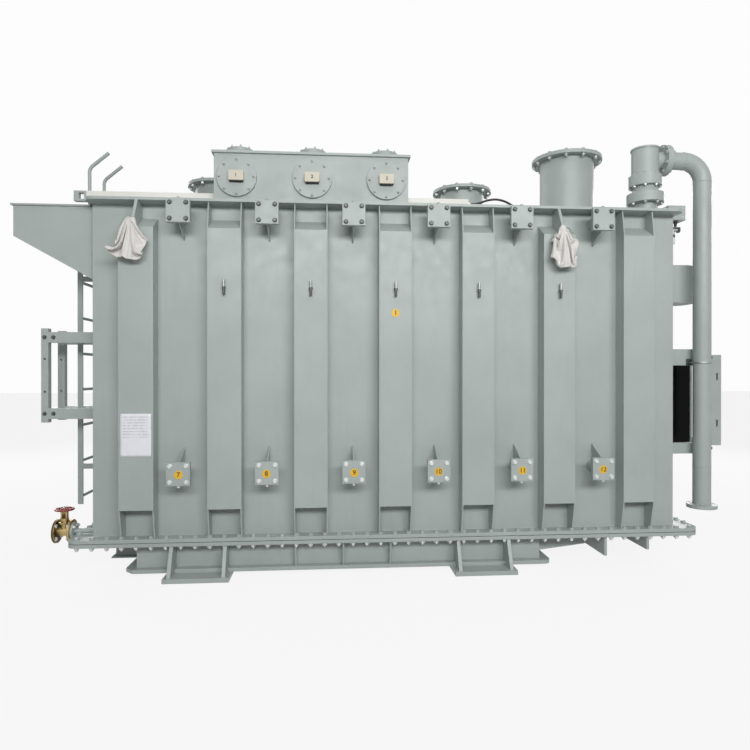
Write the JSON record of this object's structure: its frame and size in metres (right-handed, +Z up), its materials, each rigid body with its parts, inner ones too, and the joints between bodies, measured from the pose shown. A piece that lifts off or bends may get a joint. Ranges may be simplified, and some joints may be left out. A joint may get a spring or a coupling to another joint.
{
  "type": "power transformer tank",
  "caption": "Bell-type power transformer tank on skids, with ribbed walls, blanked radiator ports, turret box, relief pipe, drain valve and end frames.",
  "frame": {"origin": "on the floor under the middle of the tank, midway between its ends and long sides", "axes": "+X along the tank towards the relief pipe, +Z up, the front long side towards -Y"},
  "size_m": [5.42, 2.03, 3.301],
  "materials": {
    "tank_paint": "satin",
    "gasket_rubber": "matte",
    "tray_paint": "satin",
    "tag_plastic": "matte",
    "panel_gloss": "gloss",
    "bare_steel": "satin",
    "valve_brass": "satin",
    "wheel_paint": "gloss",
    "white_cloth": "matte",
    "cable_sheath": "matte",
    "gland_steel": "satin",
    "box_paint": "satin"
  },
  "bodies": {
    "tank": {"arm_brackets": "tank_paint", "base_end_walls": "tank_paint", "base_gussets": "tank_paint", "base_long_walls": "tank_paint", "base_plate": "tank_paint", "bell_end_flanges": "tank_paint", "bell_flange": "tank_paint", "cable_glands": "gland_steel", "cable_tray": "tray_paint", "cover": "tank_paint", "discharge_pipe": "tank_paint", "drain_pipe": "tank_paint", "end_box": "box_paint", "end_fitting": "bare_steel", "end_ribs": "tank_paint", "flange_gasket": "gasket_rubber", "frame_arms": "tank_paint", "frame_panel": "panel_gloss", "frame_uprights": "tank_paint", "front_lugs": "tank_paint", "front_rib_caps": "tank_paint", "front_rib_sides": "tank_paint", "front_wall": "tank_paint", "handrails": "tank_paint", "hatch_covers": "tank_paint", "hatch_necks": "tank_paint", "junction_box": "box_paint", "ladder_rails": "tank_paint", "ladder_rungs": "tank_paint", "lashing_brackets": "tank_paint", "left_end_wall": "tank_paint", "low_necks": "tank_paint", "lower_flange": "tank_paint", "lug_wraps": "white_cloth", "neck_covers": "tank_paint", "phase_tags": "tag_plastic", "pipe_clamp": "bare_steel", "port_blanks": "tank_paint", "radiator_ports": "tank_paint", "rear_lugs": "tank_paint", "rear_rib_caps": "tank_paint", "rear_rib_sides": "tank_paint", "rear_wall": "tank_paint", "relief_base": "tank_paint", "relief_body": "tank_paint", "relief_cone": "tank_paint", "rib_pins": "bare_steel", "right_end_wall": "tank_paint", "skids": "tank_paint", "sloped_floor": "tank_paint", "sump": "tank_paint", "tall_neck": "tank_paint", "tray_bracket": "tank_paint", "tray_cable": "cable_sheath", "turret_box": "tank_paint", "turret_covers": "tank_paint", "turret_lid": "tank_paint", "valve_body": "valve_brass"},
    "wheel": {"handwheel": "wheel_paint"}
  },
  "joints": [
    {"name": "wheel_turn", "type": "hinge", "parent": "tank", "child": "wheel", "pos_m": [-2.362, -0.72, 0.452], "axis": [0, 0, 1], "range_deg": [0, 1485]}
  ]
}
